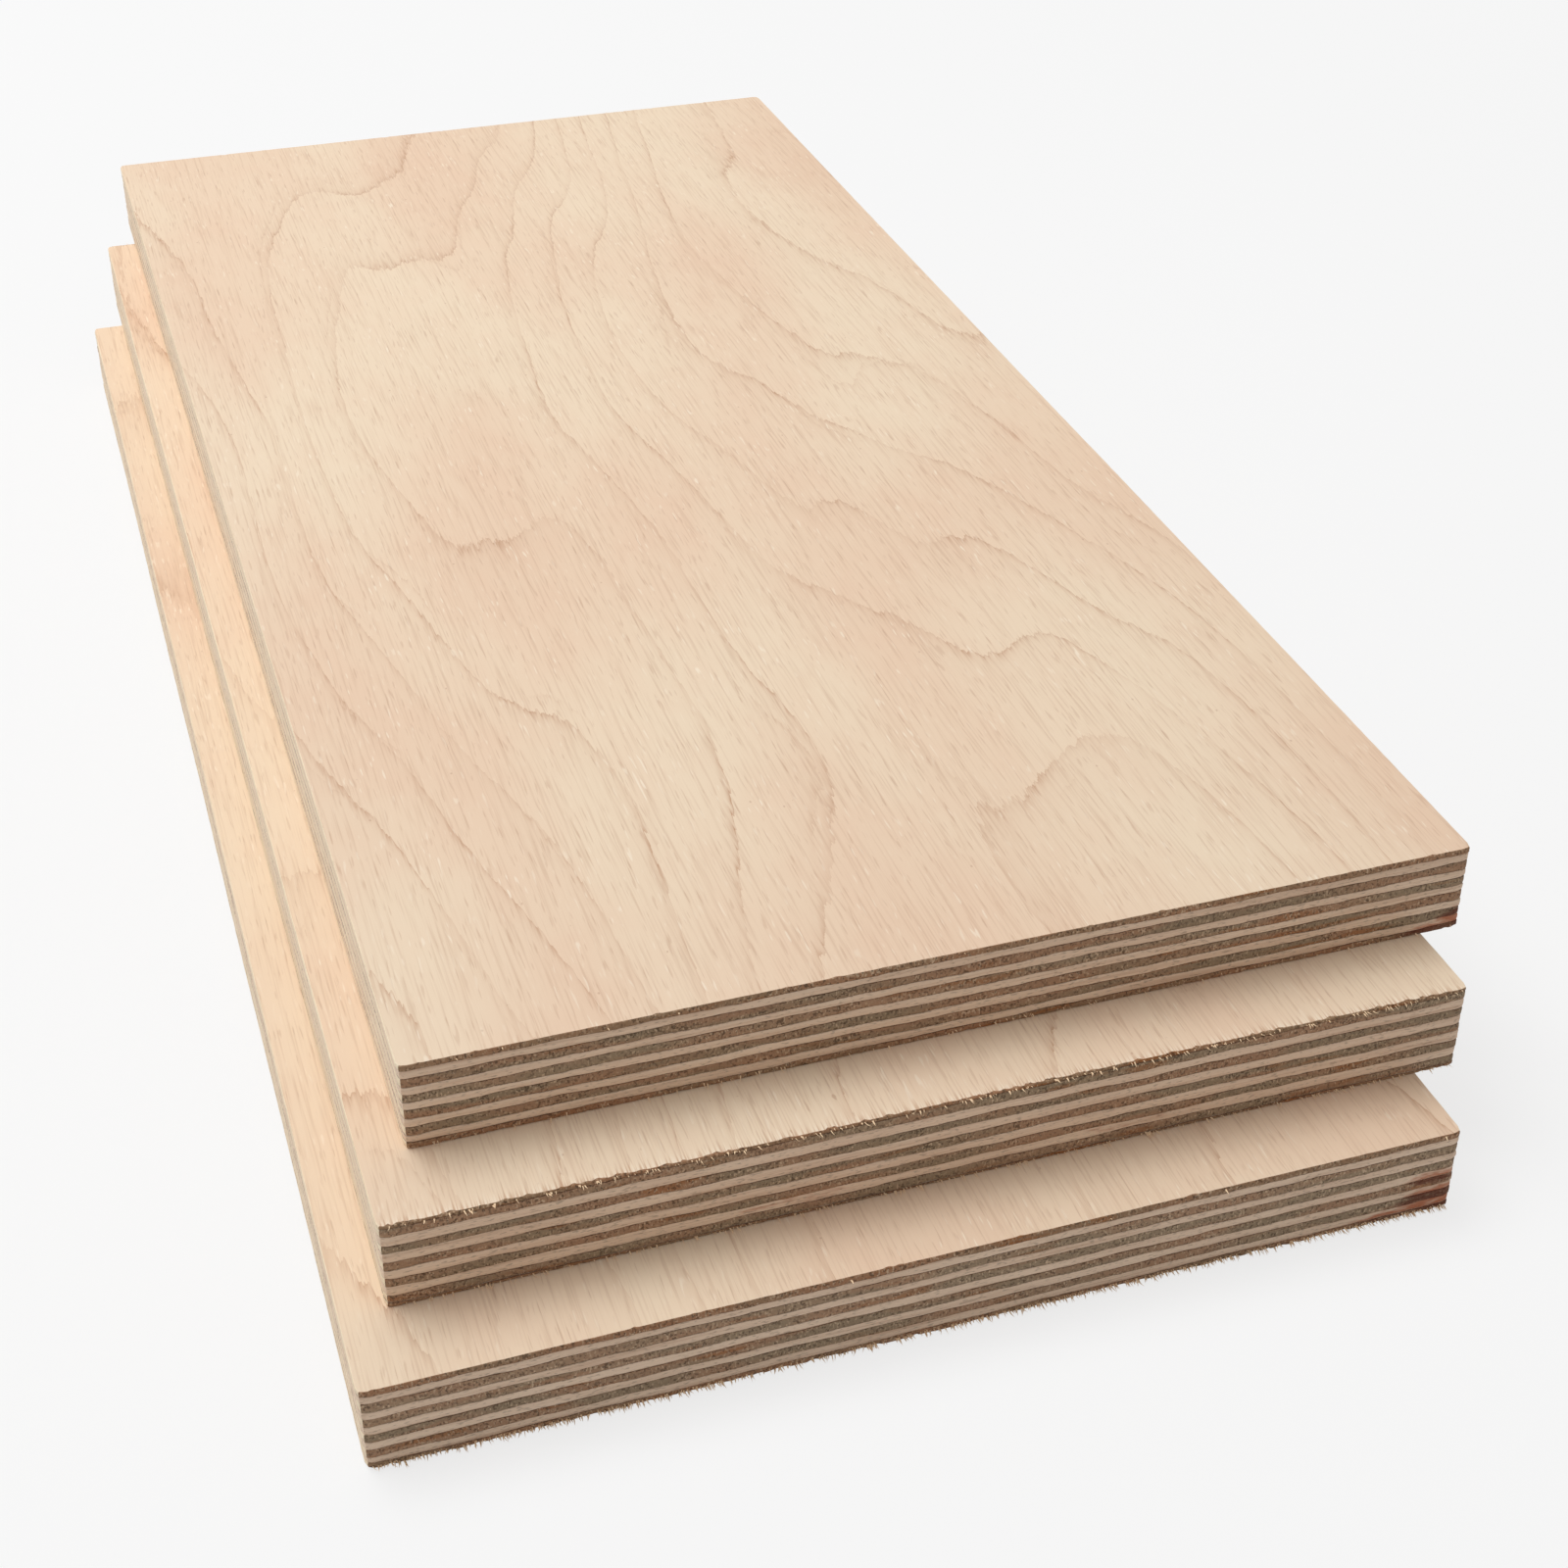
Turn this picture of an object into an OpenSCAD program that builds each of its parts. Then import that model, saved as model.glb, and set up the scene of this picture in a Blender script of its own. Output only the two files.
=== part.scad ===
// Stack of three short plywood boards, lying flat on each other.
// A board is a lay-up of veneers that are glued face to face, and the grain of
// each inner veneer crosses that of the next. The lay-up is the same on both
// sides of the middle veneer, which keeps the board flat. Each board is set
// back from the one below, so that every edge and end of the stack shows.

/* [Boards] */
// Length of a board, along the grain of its faces
board_length = 435; // [200:5:2440]
// Width of a board
board_width = 200; // [80:5:1220]
// Number of veneers between the two outer ones of a board
inner_veneers = 9; // [3:2:15]

/* [Veneers of the bottom and the top board] */
// Thickness of an outer veneer, sanded
outer_veneer = 1.3; // [0.4:0.05:3]
// Thickness of an inner veneer with its grain along the board
long_veneer = 1.85; // [0.6:0.05:4]
// Thickness of an inner veneer with its grain across the board
cross_veneer = 1.6; // [0.6:0.05:4]

/* [Veneers of the middle board] */
// Thickness of an outer veneer, which is a thin facing on this board
thin_outer_veneer = 0.7; // [0.3:0.05:3]
// Thickness of an inner veneer with its grain along the board
middle_long_veneer = 1.8; // [0.6:0.05:4]
// Thickness of an inner veneer with its grain across the board
middle_cross_veneer = 1.9; // [0.6:0.05:4]

/* [Stack] */
// How far a board's front end lies behind that of the board below
step_back = 17; // [0:1:60]
// How far a board's left edge lies inside that of the board below
step_in = 8; // [0:1:40]

/* [Hidden] */
BOARDS = ["bottom_board", "middle_board", "top_board"];
thin_faced = 1;

last_board = len(BOARDS) - 1;
last_veneer = inner_veneers + 1;
stack_length = board_length + last_board * step_back;
stack_width = board_width + last_board * step_in;

face_colour = [0.87, 0.74, 0.61];
long_colour = [0.80, 0.68, 0.52];
cross_colour = [0.62, 0.50, 0.38];

// The inner veneer next to an outer one crosses it, except under the thin
// facings, where a veneer with its grain along the board comes first.
function grain_beside_outer(board) = board == thin_faced ? "long" : "cross";

function crossing(grain) = grain == "long" ? "cross" : "long";

// Kind of a veneer, counted from the back of its board
function kind(board, veneer) =
    veneer == 0 ? "back"
    : veneer == last_veneer ? "face"
    : veneer % 2 == 1 ? grain_beside_outer(board)
    : crossing(grain_beside_outer(board));

function thickness_of_kind(board, name) =
    name == "long" ? (board == thin_faced ? middle_long_veneer : long_veneer)
    : name == "cross" ? (board == thin_faced ? middle_cross_veneer : cross_veneer)
    : board == thin_faced ? thin_outer_veneer : outer_veneer;

function thickness(board, veneer) = thickness_of_kind(board, kind(board, veneer));

// Height of a veneer's lower face above the back of its board
function height_in_board(board, veneer) =
    veneer == 0 ? 0
    : height_in_board(board, veneer - 1) + thickness(board, veneer - 1);

// Height of a board's back above the floor
function height_of_board(board) =
    board == 0 ? 0
    : height_of_board(board - 1) + height_in_board(board - 1, last_veneer + 1);

// Inner veneers of one kind are numbered from the back of their board
function veneer_name(board, veneer) = let (name = kind(board, veneer))
    str(BOARDS[board], "_", name, "_veneer",
        name == "long" || name == "cross" ? str("_", ceil(veneer / 2)) : "");

// One sheet of veneer, with the front left corner of the stack's outline as the
// corner that the steps are counted from
module veneer_sheet(board, veneer) {
    translate([
        board * step_in - stack_width / 2,
        board * step_back - stack_length / 2,
        height_of_board(board) + height_in_board(board, veneer)
    ])
        linear_extrude(thickness(board, veneer))
            square([board_width, board_length]);
}

module outer_veneer_sheet(board, veneer) {
    color(face_colour) veneer_sheet(board, veneer);
}

module long_veneer_sheet(board, veneer) {
    color(long_colour) veneer_sheet(board, veneer);
}

module cross_veneer_sheet(board, veneer) {
    color(cross_colour) veneer_sheet(board, veneer);
}

module veneer_of_kind(board, veneer) {
    name = kind(board, veneer);
    if (name == "long") long_veneer_sheet(board, veneer);
    else if (name == "cross") cross_veneer_sheet(board, veneer);
    else outer_veneer_sheet(board, veneer);
}

for (board = [0 : last_board], veneer = [0 : last_veneer])
    veneer_of_kind(board, veneer);
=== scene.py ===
"""Looks of a stepped stack of short plywood boards.

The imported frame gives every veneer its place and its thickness. Each veneer is made again as a sawn
sheet, with an uneven rim, a groove along each glue joint and torn fibres at its ends, and gets the
figure that its cut shows.
"""
import math

import bpy
import numpy as np
from bpy.props import FloatProperty, FloatVectorProperty, IntProperty, PointerProperty
from mathutils import Matrix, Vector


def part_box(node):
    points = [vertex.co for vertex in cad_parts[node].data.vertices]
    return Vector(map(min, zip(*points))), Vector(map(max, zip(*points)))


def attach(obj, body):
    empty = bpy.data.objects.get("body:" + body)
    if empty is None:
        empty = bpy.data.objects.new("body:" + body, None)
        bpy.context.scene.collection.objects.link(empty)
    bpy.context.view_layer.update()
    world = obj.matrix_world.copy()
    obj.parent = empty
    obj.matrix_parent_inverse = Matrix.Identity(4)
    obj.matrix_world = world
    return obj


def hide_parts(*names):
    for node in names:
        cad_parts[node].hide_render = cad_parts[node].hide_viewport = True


bl_info = {
    "name": "Plywood Board Stack",
    "version": (1, 0, 0),
    "blender": (4, 5, 0),
    "location": "View3D > Sidebar > Plywood",
    "description": "Sawn boards of cross-laid veneers in a stepped stack, and the studio that they lie in",
    "category": "Add Mesh",
}

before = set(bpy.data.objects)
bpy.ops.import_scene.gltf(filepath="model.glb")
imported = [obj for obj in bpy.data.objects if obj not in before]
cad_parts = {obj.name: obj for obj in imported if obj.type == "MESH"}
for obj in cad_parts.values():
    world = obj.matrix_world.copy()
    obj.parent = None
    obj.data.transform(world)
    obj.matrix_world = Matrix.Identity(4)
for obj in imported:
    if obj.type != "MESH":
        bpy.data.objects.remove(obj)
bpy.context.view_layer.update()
NODES = sorted(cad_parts)
BODY = "root"
BOARDS = ("bottom_board", "middle_board", "top_board")
MM = 0.001
WHITE = (1.0, 1.0, 1.0, 1.0)

# How badly the saw tore the ends of each outer veneer, from 0 to 1
TEARS = {
    "bottom_board": {"back": 1.0, "face": 0.06},
    "middle_board": {"back": 0.5, "face": 0.45},
    "top_board": {"back": 0.25, "face": 0.08},
}

# Burns on a board's front end, in millimetres: distance in from the right edge, height above the
# board's back, half the length and half the height, and then how dark the burn is
BURNS = {
    "bottom_board": (
        (3.0, 3.0, 9.0, 3.4, 1.0),
        (10.0, 1.4, 11.0, 1.3, 0.8),
        (4.0, 8.2, 7.0, 1.8, 0.8),
    ),
    "middle_board": (
        (1.5, 1.0, 4.0, 1.2, 0.4),
        (128.0, 3.6, 12.0, 1.2, 0.5),
        (60.0, 3.6, 22.0, 1.0, 0.35),
    ),
    "top_board": (
        (2.0, 0.7, 12.0, 1.6, 1.0),
        (1.0, 2.6, 4.4, 2.2, 0.9),
    ),
}


def srgb(red, green, blue):
    """A colour given in 0 to 255 as a screen shows it, made linear."""
    shown = np.array((red, green, blue)) / 255
    linear = np.where(shown <= 0.04045, shown / 12.92, ((shown + 0.055) / 1.055) ** 2.4)
    return tuple(float(part) for part in linear)


def length_property(name, description, default):
    """A size that a user may change, in metres."""
    return FloatProperty(
        name=name, description=description, default=default, min=0.0, precision=5, unit="LENGTH"
    )


def colour_property(name, description, default):
    """A colour that a user may change."""
    return FloatVectorProperty(
        name=name, description=description, default=default, min=0.0, max=1.0, size=3, subtype="COLOR"
    )


# Sizes and colours that a user would change
class SawnRim(bpy.types.PropertyGroup):
    """How far the sawn rim of a veneer strays from a true flat face."""

    end_spacing: length_property("End spacing", "Distance between the points along a sawn end", 0.9 * MM)
    edge_spacing: length_property("Edge spacing", "Distance between the points along a long edge", 1.5 * MM)
    torn_spacing: length_property("Torn spacing", "Distance between the points along a torn end", 0.4 * MM)
    cell: length_property("Cell", "Size of the mesh cells on a flat side", 20 * MM)
    wander: length_property("Saw wander", "How far a cut strays from a straight line", 0.10 * MM)
    wander_length: length_property("Wander length", "Distance over which a cut strays", 70 * MM)
    veneer_step: length_property("Veneer step", "How far a veneer's rim stands in or out", 0.05 * MM)
    fuzz: length_property("Fuzz", "Height of the roughness that the saw leaves", 0.035 * MM)
    fuzz_length: length_property("Fuzz length", "Length of the roughness that the saw leaves", 2.2 * MM)
    joint_wander: length_property("Joint wander", "How far a glue joint strays up and down", 0.26 * MM)
    joint_length: length_property("Joint length", "Distance over which a glue joint strays", 9 * MM)
    groove: length_property("Glue groove", "Depth of the groove along a glue joint", 0.09 * MM)
    arris: length_property("Eased arris", "How far the arris of an outer veneer is rounded off", 0.16 * MM)
    corner_wear: length_property("Corner wear", "How far the four upright corners are worn in", 0.35 * MM)
    corner_reach: length_property("Corner reach", "How far from a corner the wear reaches", 1.6 * MM)


class TornFibres(bpy.types.PropertyGroup):
    """The chips and splinters that a saw tears out of an outer veneer across its grain."""

    chip_depth: length_property("Chip depth", "Depth of the deepest chip in a torn arris", 0.9 * MM)
    chip_width: length_property("Chip width", "Half the width of a broad chip", 1.3 * MM)
    splinter_length: length_property("Splinter length", "Length of a long splinter", 1.5 * MM)
    splinter_width: length_property("Splinter width", "Width of a broad splinter at its root", 0.42 * MM)
    chips: IntProperty(
        name="Chips", description="Chips on a metre of fully torn arris", default=1800, min=0
    )
    splinters: IntProperty(
        name="Splinters", description="Splinters on a metre of fully torn arris", default=3600, min=0
    )


class WoodColours(bpy.types.PropertyGroup):
    """Colours of the bare wood, its glue and its burns."""

    face_pale: colour_property("Pale face", "Face veneer where it is palest", srgb(238, 217, 190))
    face_warm: colour_property("Warm face", "Face veneer where it is pinkest", srgb(233, 203, 176))
    face_ring: colour_property("Ring line", "Late wood at the end of a year's growth", srgb(190, 146, 114))
    face_pore: colour_property("Pore", "Fibres, open pores and flecks in a face", srgb(172, 126, 94))
    # The light dash colour paints glints where raised fibres catch the light; the pale lifted strands of a
    # torn end take it too
    face_dash: colour_property("Light dash", "Short raised fibres in a face", srgb(250, 235, 214))
    # The colours of a long edge are painted light: the grain there is painted much paler than the same grain
    # on an end, as a lit copy
    edge_pale: colour_property("Pale edge", "Long veneer's rim on a long edge", srgb(250, 233, 204))
    edge_dark: colour_property("Dark edge", "Streaks in a long veneer's rim", srgb(237, 211, 178))
    edge_pink: colour_property("Pink edge", "Cross veneer's rim on a long edge", srgb(245, 220, 196))
    side_pale: colour_property("Pale end", "Cross veneer's rim on a sawn end", srgb(236, 209, 183))
    side_dark: colour_property("Dark end", "Streaks in a cross veneer's rim", srgb(204, 170, 143))
    end_pale: colour_property("Pale end grain", "Light flecks in end grain", srgb(208, 180, 150))
    end_brown: colour_property("Brown end grain", "End grain where it is warm", srgb(164, 127, 99))
    end_grey: colour_property("Grey end grain", "End grain where it is cool", srgb(148, 127, 102))
    end_orange: colour_property("Orange end grain", "End grain where it is stained", srgb(150, 90, 40))
    end_pore: colour_property("End pores", "Open ends of the pores", srgb(72, 54, 38))
    glue: colour_property("Glue line", "Glue that shows between two veneers", srgb(84, 56, 36))
    scorch: colour_property("Scorch", "Burned rim that was sawn along the grain", srgb(172, 88, 46))
    burn: colour_property("Burn", "Burned rim that was sawn across the grain", srgb(92, 38, 18))
    # Splinters are fresh pale fibres, painted paler still: painted light for the light that shines through
    # the thin fibres in the shade under the ends
    splinter: colour_property("Splinter", "Fresh fibres of a splinter", srgb(255, 226, 188))


class Studio(bpy.types.PropertyGroup):
    """The light, the floor and the camera."""

    heading: FloatProperty(
        name="Heading", description="Turn of the camera to the right of the boards' length",
        default=math.radians(18.1), subtype="ANGLE",
    )
    pitch: FloatProperty(
        name="Pitch", description="How far the camera looks down",
        default=math.radians(34.0), subtype="ANGLE",
    )
    lens: FloatProperty(name="Lens", description="Focal length, in millimetres", default=58.07, min=1.0)
    fill: FloatProperty(
        name="Fill", description="Share of the frame that the stack takes up",
        default=0.88, subtype="FACTOR",
    )
    key_power: FloatProperty(
        name="Key power", description="Power of the large lamp",
        default=19.7, unit="POWER",
    )
    key_place: FloatVectorProperty(
        name="Key place", description="Where the large lamp hangs",
        default=(-0.52, 0.38, 1.58), subtype="TRANSLATION", unit="LENGTH",
    )
    key_width: length_property("Key width", "Width of the large lamp", 1.3)
    key_depth: length_property("Key depth", "Depth of the large lamp", 1.0)
    sky: FloatProperty(name="Sky", description="Strength of the even light from all round", default=0.42)
    floor: colour_property("Floor", "Colour of the floor", (0.78, 0.78, 0.78))
    fade_start: length_property("Fade start", "Distance at which the floor starts to fade to white", 0.35)
    fade_end: length_property("Fade end", "Distance at which the floor is white", 1.8)
    floor_glow: FloatProperty(
        name="Floor glow", description="Share of plain white in the floor that the camera sees",
        default=0.74, subtype="FACTOR",
    )


# Shader maths
class Term:
    """A number, colour or vector over a surface: a socket that takes Python's signs."""

    def __init__(self, finish, socket):
        self.finish = finish
        self.socket = socket

    def maths(self, operation, *values):
        """A Math node on some values, in order."""
        return self.finish.node("ShaderNodeMath", {"operation": operation}, dict(enumerate(values)))

    def __add__(self, other):
        return self.maths("ADD", self, other)

    __radd__ = __add__

    def __sub__(self, other):
        return self.maths("SUBTRACT", self, other)

    def __rsub__(self, other):
        return self.maths("SUBTRACT", other, self)

    def __mul__(self, other):
        return self.maths("MULTIPLY", self, other)

    __rmul__ = __mul__

    def __truediv__(self, other):
        return self.maths("DIVIDE", self, other)

    def __pow__(self, other):
        return self.maths("POWER", self, other)

    def fraction(self):
        """What is left above the whole number below."""
        return self.maths("FRACT", self)

    def most(self, other):
        """The larger of two values."""
        return self.maths("MAXIMUM", self, other)

    def ramp(self, low, high):
        """0 up to low, 1 from high on, and eased between them."""
        inputs = {"Value": self, "From Min": low, "From Max": high}
        return self.finish.node("ShaderNodeMapRange", {"interpolation_type": "SMOOTHSTEP"}, inputs)


class Finish:
    """A node tree of a material or the world, to which nodes are added one by one."""

    # Sockets of a Mix node for colours: the share, the two colours, and the result
    MIX_SHARE, MIX_UNDER, MIX_OVER, MIX_RESULT = 0, 6, 7, 2

    def __init__(self, tree):
        self.tree = tree
        self.tree.nodes.clear()

    def node(self, kind, settings=None, inputs=None, output=0):
        """Adds a node: its settings, then its sockets' values or links. Gives one of its outputs."""
        node = self.tree.nodes.new(kind)
        for name, value in (settings or {}).items():
            setattr(node, name, value)
        for name, value in (inputs or {}).items():
            if isinstance(value, Term):
                self.tree.links.new(value.socket, node.inputs[name])
            else:
                node.inputs[name].default_value = value
        return Term(self, node.outputs[output]) if node.outputs else None

    def layers(self, ground, *layers):
        """A colour with others laid over it in order. A layer is the share that shows, and a colour."""
        settings = {"data_type": "RGBA", "clamp_factor": True}
        colour = (*ground, 1.0)
        for share, over in layers:
            inputs = {self.MIX_SHARE: share, self.MIX_UNDER: colour, self.MIX_OVER: (*over, 1.0)}
            colour = self.node("ShaderNodeMix", settings, inputs, self.MIX_RESULT)
        return colour

    def seen(self):
        """1 for what the camera, a reflection or a clear body sees, and 0 for the light that is cast."""
        names = ("Is Camera Ray", "Is Glossy Ray", "Is Transmission Ray")
        rays = [self.node("ShaderNodeLightPath", output=name) for name in names]
        return rays[0].most(rays[1]).most(rays[2])


class WoodFinish(Finish):
    """A material of bare wood, in millimetres, with a pattern of its own on each veneer."""

    # How far apart in the noise a veneer of tone 0 and one of tone 1 are
    TONE_SPACING = 900.0
    NOISE_ROUGHNESS = 0.55
    SHEEN_LEVEL = 0.25

    def __init__(self, name):
        self.material = bpy.data.materials.new(name)
        self.material.use_nodes = True
        super().__init__(self.material.node_tree)
        place = self.node("ShaderNodeTexCoord", output="Object")
        inputs = {0: place, "Scale": 1 / MM}
        self.place = self.node("ShaderNodeVectorMath", {"operation": "SCALE"}, inputs)
        self.tone = self.attribute("tone")
        own = self.node("ShaderNodeCombineXYZ", inputs={"Z": self.tone * self.TONE_SPACING})
        self.own_place = self.node("ShaderNodeVectorMath", {"operation": "ADD"}, {0: self.place, 1: own})

    def attribute(self, name):
        """A number that the mesh holds at each point."""
        return self.node("ShaderNodeAttribute", {"attribute_name": name}, output="Fac")

    def axis(self, name):
        """One coordinate of the surface."""
        return self.node("ShaderNodeSeparateXYZ", inputs={0: self.place}, output=name)

    def noise(self, cell, detail=1.0, seed=0.0):
        """Smooth noise from 0 to 1, its own on each veneer, with cells of this size along X, Y and Z."""
        inputs = {0: self.own_place, 1: tuple(1 / size for size in cell), 2: (seed, seed, seed)}
        spread = self.node("ShaderNodeVectorMath", {"operation": "MULTIPLY_ADD"}, inputs)
        inputs = {"Vector": spread, "Scale": 1.0, "Detail": detail, "Roughness": self.NOISE_ROUGHNESS}
        return self.node("ShaderNodeTexNoise", inputs=inputs, output="Fac")

    def grain_noise(self, grain, across, along, detail=1.0, seed=0.0):
        """Noise whose cells have one size along the grain and another in the other two directions."""
        return self.noise(tuple(along if axis == grain else across for axis in "XYZ"), detail, seed)

    def glue(self, reach, strength):
        """How much glue shows: all at a glue joint, none past its reach, and broken along the joint."""
        from_joint = self.attribute("from_joint")
        broken = self.noise((8.0, 8.0, 3.0), 1.0, 31.0).ramp(0.36, 0.58)
        ragged = self.noise((0.5, 0.5, 0.5), 0.0, 37.0)
        near = 1.0 - (from_joint / (ragged * (2.0 * reach))).ramp(0.5, 1.2)
        return near * (broken * 0.7 + 0.3) * strength

    def burns(self):
        """How much the saw has burned the rim: the marks that the mesh holds, broken into streaks."""
        streak = self.noise((3.6, 3.6, 0.7), 2.0, 41.0)
        return (self.attribute("burn") + streak * 1.6 - 1.0).ramp(0.0, 0.9) * 0.85

    def done(self, colour, roughness, height, depth):
        """Ends the nodes in a shader of this colour and roughness, with bumps of a depth in metres."""
        bump = self.node("ShaderNodeBump", inputs={"Strength": 1.0, "Distance": depth, "Height": height})
        inputs = {
            "Base Color": colour,
            "Roughness": roughness,
            "Specular IOR Level": self.SHEEN_LEVEL,
            "Normal": bump,
        }
        shader = self.node("ShaderNodeBsdfPrincipled", inputs=inputs)
        self.node("ShaderNodeOutputMaterial", inputs={"Surface": shader})
        return self.material


# Year lines of a face: millimetres across the grain and along it for one year, a shift by a share of a
# year, and the powers by which a year darkens and its lines stand out
YEAR_ACROSS = 24.0
YEAR_ALONG = 1000.0
YEAR_SHIFT = 0.18
LATE_WOOD = 6.0
LINE = 28.0
PART_WAY_LINE = 32.0


def face_finish(name, colours, grain):
    """A peeled veneer's flat side.

    A smooth field rises across the grain by one a year and is bent by broad noise, so that its lines
    wave and close into islands where the field is flat. A year darkens as rise^6 towards its end and
    closes in a line, rise^28, that fades in and out and is made of strokes along the grain. A fainter
    line lies part of the way through some years. Fibres, pores, flecks and a slow drift from pale to
    pink lie over it, with patches of painted shimmer that warm it a little, and light dashes of raised
    fibres that are painted glints, brightest in the shimmer. Towards a torn end the fibres part into
    dark strokes and pale lifted strands.
    """
    wood = WoodFinish(name)
    across = wood.axis("X" if grain == "Y" else "Y")
    along = wood.axis(grain)
    bend = wood.grain_noise(grain, 78.0, 330.0, 0.0)
    waver = wood.grain_noise(grain, 30.0, 150.0, 1.0, 3.0)
    tremble = wood.grain_noise(grain, 2.0, 15.0, 1.0, 5.0)
    feather = wood.grain_noise(grain, 0.55, 7.0, 1.0, 47.0)
    years = across / YEAR_ACROSS + along / YEAR_ALONG + bend * 10.5 + waver * 1.5
    years = years + tremble * 0.10 + feather * 0.09 + YEAR_SHIFT
    rise = years.fraction()
    part_way = (years + waver * 1.1 + 0.55).fraction()
    strand = feather.ramp(0.30, 0.64) * 0.75 + 0.25
    faint = wood.grain_noise(grain, 13.0, 42.0, 1.0, 7.0).ramp(0.32, 0.66) * strand
    fainter = wood.grain_noise(grain, 16.0, 55.0, 1.0, 59.0).ramp(0.42, 0.70) * strand
    line = (rise**LINE) * (faint * 0.60 + 0.08) + (rise**LATE_WOOD) * 0.10
    line = line + (part_way**PART_WAY_LINE) * fainter * 0.34
    drift = wood.grain_noise(grain, 48.0, 130.0, 1.0, 11.0).ramp(0.30, 0.70)
    # Patches of painted shimmer: the sheen that plays over the figure, painted as a little warmth in the
    # face and as the places where the painted glints show
    painted_shimmer = wood.grain_noise(grain, 9.0, 15.0, 1.0, 13.0).ramp(0.35, 0.75)
    fibre = wood.grain_noise(grain, 0.45, 18.0, 1.0, 17.0)
    pore = wood.grain_noise(grain, 0.40, 6.0, 0.0, 19.0).ramp(0.68, 0.80)
    fleck = wood.grain_noise(grain, 1.1, 1.8, 0.0, 23.0).ramp(0.87, 0.91)
    # Light dashes of raised fibres, painted glints: pale colour where the fibres catch the light, brightest
    # in the shimmer patches
    glint_dash = wood.grain_noise(grain, 0.50, 4.5, 0.0, 29.0).ramp(0.70, 0.80) * (painted_shimmer * 0.8 + 0.2)
    torn = wood.attribute("torn").ramp(0.0, 0.5)
    stroke = (fibre + torn * 0.12).ramp(0.56, 0.74) * torn
    lifted = (1.12 - fibre + torn * 0.12).ramp(0.68, 0.84) * torn
    colour = wood.layers(
        colours.face_pale,
        # The warm drift, with a little painted shimmer
        (drift * 0.8 + painted_shimmer * 0.2, colours.face_warm),
        (line, colours.face_ring),
        (fibre.ramp(0.46, 0.82) * 0.24 + pore * 0.22 + fleck * 0.35, colours.face_pore),
        # Painted glints off raised fibres
        (glint_dash * 0.65, colours.face_dash),
        (stroke * 0.5, colours.face_ring),
        (lifted * 0.5, colours.face_dash),
    )
    height = fibre * 0.6 - pore * 0.8 - stroke * 1.2
    return wood.done(colour, 0.52 + fibre * 0.16, height, 0.02 * MM)


def side_grain_finish(name, colours, grain, cut, pores):
    """A rim sawn along its grain: long streaks and short pores in its direction, and a dark broken line
    at a glue joint. Its pale and dark colours are named for the cut. The edge colours of a long edge
    are painted light: the grain is painted paler there than on an end, as a lit copy."""
    wood = WoodFinish(name)
    streak = wood.grain_noise(grain, 0.28, 26.0)
    band = wood.grain_noise(grain, 0.75, 60.0, 1.0, 3.0)
    slow = wood.grain_noise(grain, 12.0, 22.0, 1.0, 5.0)
    pore = wood.grain_noise(grain, 0.32, 1.3, 1.0, 7.0).ramp(0.56, 0.72)
    shade = streak.ramp(0.42, 0.80) * 0.50 + band.ramp(0.45, 0.75) * 0.30 + slow.ramp(0.35, 0.70) * 0.22
    colour = wood.layers(
        getattr(colours, f"{cut}_pale"),
        (shade + wood.tone * 0.2 - 0.1, getattr(colours, f"{cut}_dark")),
        (pore * pores, colours.end_pore),
        (wood.glue(0.09, 0.6), colours.glue),
        (wood.burns(), colours.scorch),
    )
    return wood.done(colour, 0.62 + streak * 0.14, streak * 0.9, 0.05 * MM)


def end_grain_finish(name, colours, pale, orange):
    """A rim sawn across its grain: open pores and light rays that stand across the veneer, over a
    ground that drifts between brown, grey and orange along it, with the glue soaked into both sides. A
    pale one is painted light: a lit copy of the end grain, in the pale pink of a long edge, with fewer
    open pores and less glue showing."""
    wood = WoodFinish(name)
    pores = wood.noise((0.46, 0.46, 0.52))
    rays = wood.noise((0.38, 0.38, 0.80), 1.0, 3.0)
    clump = wood.noise((4.5, 4.5, 1.5), 1.0, 5.0)
    drift = wood.noise((22.0, 22.0, 4.0), 1.0, 7.0)
    stain = wood.noise((16.0, 16.0, 2.4), 1.0, 9.0)
    light = rays.ramp(0.52, 0.70) * (clump.ramp(0.35, 0.65) * 0.5 + 0.35) + wood.tone * 0.2 - 0.1
    open_pores = pores.ramp(0.52, 0.68)
    crowd = clump.ramp(0.30, 0.60) * 0.5 + 0.5
    colour = wood.layers(
        colours.end_brown,
        (drift.ramp(0.38, 0.62), colours.end_grey),
        (stain.ramp(0.60, 0.72) * 0.55 + orange, colours.end_orange),
        (light, colours.end_pale),
        (pale, colours.edge_pink),
        (open_pores * crowd * (0.70 - 0.62 * pale), colours.end_pore),
        (wood.glue(0.15, 0.8 - 0.25 * pale), colours.glue),
        (wood.burns(), colours.burn),
    )
    return wood.done(colour, 0.72 + pores * 0.12, rays * 0.5 - open_pores * 0.75, 0.10 * MM)


def splinter_finish(name, colours):
    """Fresh fibres, pale orange and streaked along the grain, and painted paler still: painted light
    for the light that shines through the thin fibres.
    """
    wood = WoodFinish(name)
    streak = wood.noise((0.12, 2.0, 0.12), 2.0)
    colour = wood.layers(colours.splinter, (streak.ramp(0.35, 0.75) * 0.4, colours.face_ring))
    return wood.done(colour, 0.6 + streak * 0.1, streak, 0.03 * MM)


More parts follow.
